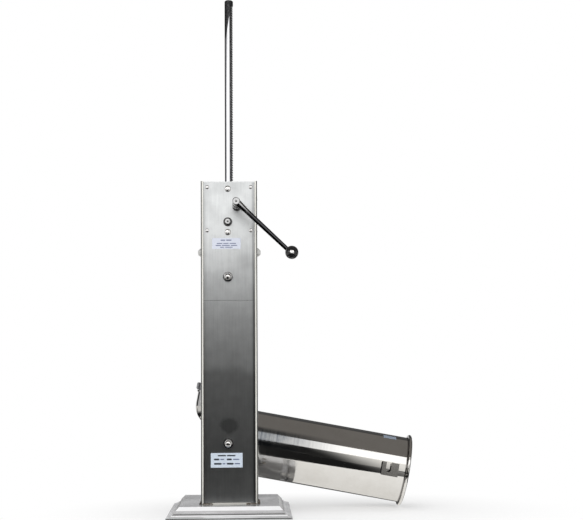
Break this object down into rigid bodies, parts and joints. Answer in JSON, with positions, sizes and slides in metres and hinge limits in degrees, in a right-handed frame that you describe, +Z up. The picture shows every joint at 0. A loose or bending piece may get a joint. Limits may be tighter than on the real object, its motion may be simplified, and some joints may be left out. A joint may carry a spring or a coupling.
{
  "type": "sausage stuffer",
  "caption": "Vertical hand-cranked meat press: a rack-driven piston over a tilting cylinder with a side outlet, on a tall steel column with a pressed base.",
  "frame": {"origin": "centre of the base's footprint and of the pad under it, on the table the pad and the feet rest on", "axes": "+Z up; -Y is the operator's side with the crank; +Y is the side the cylinder works on; +X is the side the cylinder swings down to, and is drawn lying on"},
  "size_m": [0.5267, 0.3602, 1.136],
  "materials": {
    "brushed_stainless": "brushed stainless sheet",
    "weld": "heat tinted weld bead",
    "foot_rubber": "moulded black rubber",
    "bright_fastener": "bright stainless fasteners",
    "cast_aluminium": "sand cast aluminium",
    "bronze": "sintered bronze",
    "dark_bush": "dark bush flange",
    "label": "pale blank label",
    "gear_steel": "machined steel, lightly oiled",
    "rack_chrome": "plated rack with dark oiled teeth",
    "chrome": "bright chrome plate",
    "black_knob": "gloss black phenolic ball",
    "polished_stainless": "mirror polished stainless",
    "silicone": "pale food grade silicone",
    "valve_plastic": "white food grade plastic",
    "spring_steel": "stainless spring wire"
  },
  "bodies": {
    "frame": {"base_tray": "brushed_stainless", "base_feet": "foot_rubber", "centre_pad": "foot_rubber", "foot_nuts": "bright_fastener", "column_channel": "brushed_stainless", "foot_welds": "weld", "upper_back_panel": "brushed_stainless", "lower_back_panel": "brushed_stainless", "corner_screws": "bright_fastener", "case_bolts": "bright_fastener", "case_rear_plate": "cast_aluminium", "gear_case": "cast_aluminium", "head_shroud": "brushed_stainless", "shroud_screws": "bright_fastener", "top_cover": "brushed_stainless", "cover_screws": "bright_fastener", "rack_bush_top": "bronze", "rack_bush_bottom": "bronze", "fast_rear_bush": "dark_bush", "fast_front_bush": "bronze", "slow_rear_bush": "dark_bush", "slow_front_bush": "bronze", "pivot_bolt": "bright_fastener", "pivot_washer": "bright_fastener", "latch_stud": "bright_fastener", "through_spacers": "bright_fastener", "cap_nuts": "bright_fastener", "cap_washers": "bright_fastener", "upper_label": "label", "lower_label": "label"},
    "fast_drive": {"fast_shaft": "gear_steel", "rack_pinion": "gear_steel", "fast_gear": "gear_steel", "drive_keys": "bright_fastener", "fast_shaft_clip": "bright_fastener", "crank_arm": "chrome", "crank_set_screw": "bright_fastener", "knob_stud": "bright_fastener"},
    "knob": {"ball_knob": "black_knob"},
    "slow_drive": {"slow_shaft": "gear_steel", "slow_gear": "gear_steel", "slow_gear_pin": "bright_fastener", "slow_shaft_clips": "bright_fastener"},
    "ram": {"rack": "rack_chrome", "piston_plate": "polished_stainless", "piston_seal": "silicone", "piston_screw": "bright_fastener", "valve_spring": "spring_steel"},
    "valve": {"air_valve": "valve_plastic", "valve_button": "valve_plastic"},
    "barrel": {"cylinder_tube": "polished_stainless", "cylinder_bottom": "polished_stainless", "pivot_bracket": "polished_stainless", "latch_bracket": "polished_stainless", "outlet_elbow": "polished_stainless", "outlet_gasket": "silicone", "cylinder_label": "label"},
    "outlet_nut": {"ring_nut": "chrome"}
  },
  "joints": [
    {"name": "crank_turn", "type": "hinge", "parent": "frame", "child": "fast_drive", "pos_m": [0.01665, 0, 0.647], "axis": [0, -1, 0], "range_deg": [0, 1262]},
    {"name": "rack_slide", "type": "slide", "parent": "frame", "child": "ram", "axis": [0, 0, 1], "range_m": [-0.27, 0]},
    {"name": "slow_turn", "type": "hinge", "parent": "frame", "child": "slow_drive", "pos_m": [-0.0025, 0, 0.61476], "axis": [0, -1, 0], "range_deg": [-4000, 0]},
    {"name": "knob_spin", "type": "hinge", "parent": "fast_drive", "child": "knob", "pos_m": [0.12908, 0, 0.54031], "axis": [0, -1, 0], "continuous": true},
    {"name": "cylinder_tilt", "type": "hinge", "parent": "frame", "child": "barrel", "pos_m": [-0.0025, 0, 0.1515], "axis": [0, -1, 0], "range_deg": [0, 100.6]},
    {"name": "ring_nut_turn", "type": "hinge", "parent": "barrel", "child": "outlet_nut", "pos_m": [-0.06836, 0.085, 0.16382], "axis": [0.184, 0, 0.9829], "continuous": true},
    {"name": "valve_press", "type": "slide", "parent": "ram", "child": "valve", "axis": [0, 0, 1], "range_m": [-0.0035, 0], "stiffness_N_per_m": 400, "springref_m": 0.003, "deforming": ["valve_spring"]}
  ],
  "couplings": [
    {"joint": "rack_slide", "follows": "crank_turn", "m_per_rad": -0.01225},
    {"joint": "slow_turn", "follows": "crank_turn", "ratio": -3.1667}
  ]
}
